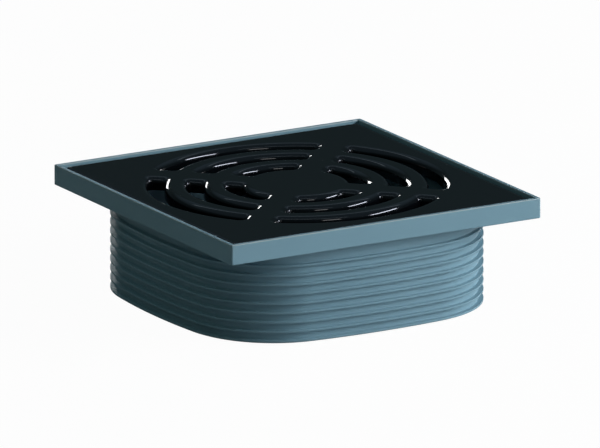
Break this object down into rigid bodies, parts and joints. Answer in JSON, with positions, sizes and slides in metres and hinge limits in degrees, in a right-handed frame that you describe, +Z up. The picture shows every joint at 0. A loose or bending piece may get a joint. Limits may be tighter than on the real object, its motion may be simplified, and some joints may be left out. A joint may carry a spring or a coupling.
{
  "type": "floor drain cover",
  "caption": "Square floor drain top: a slotted cover lies in a shallow frame, and a ribbed hollow riser under the frame pushes into the drain body.",
  "frame": {"origin": "centre of the riser's bottom end", "axes": "+Z up through the middle of the cover, +X and +Y square to the sides of the frame"},
  "size_m": [0.15, 0.15, 0.0494],
  "materials": {
    "frame_plastic": "satin, grey-blue",
    "cover_plastic": "gloss, black"
  },
  "bodies": {
    "root": {"frame_riser": "frame_plastic", "slotted_cover": "cover_plastic"}
  },
  "joints": []
}
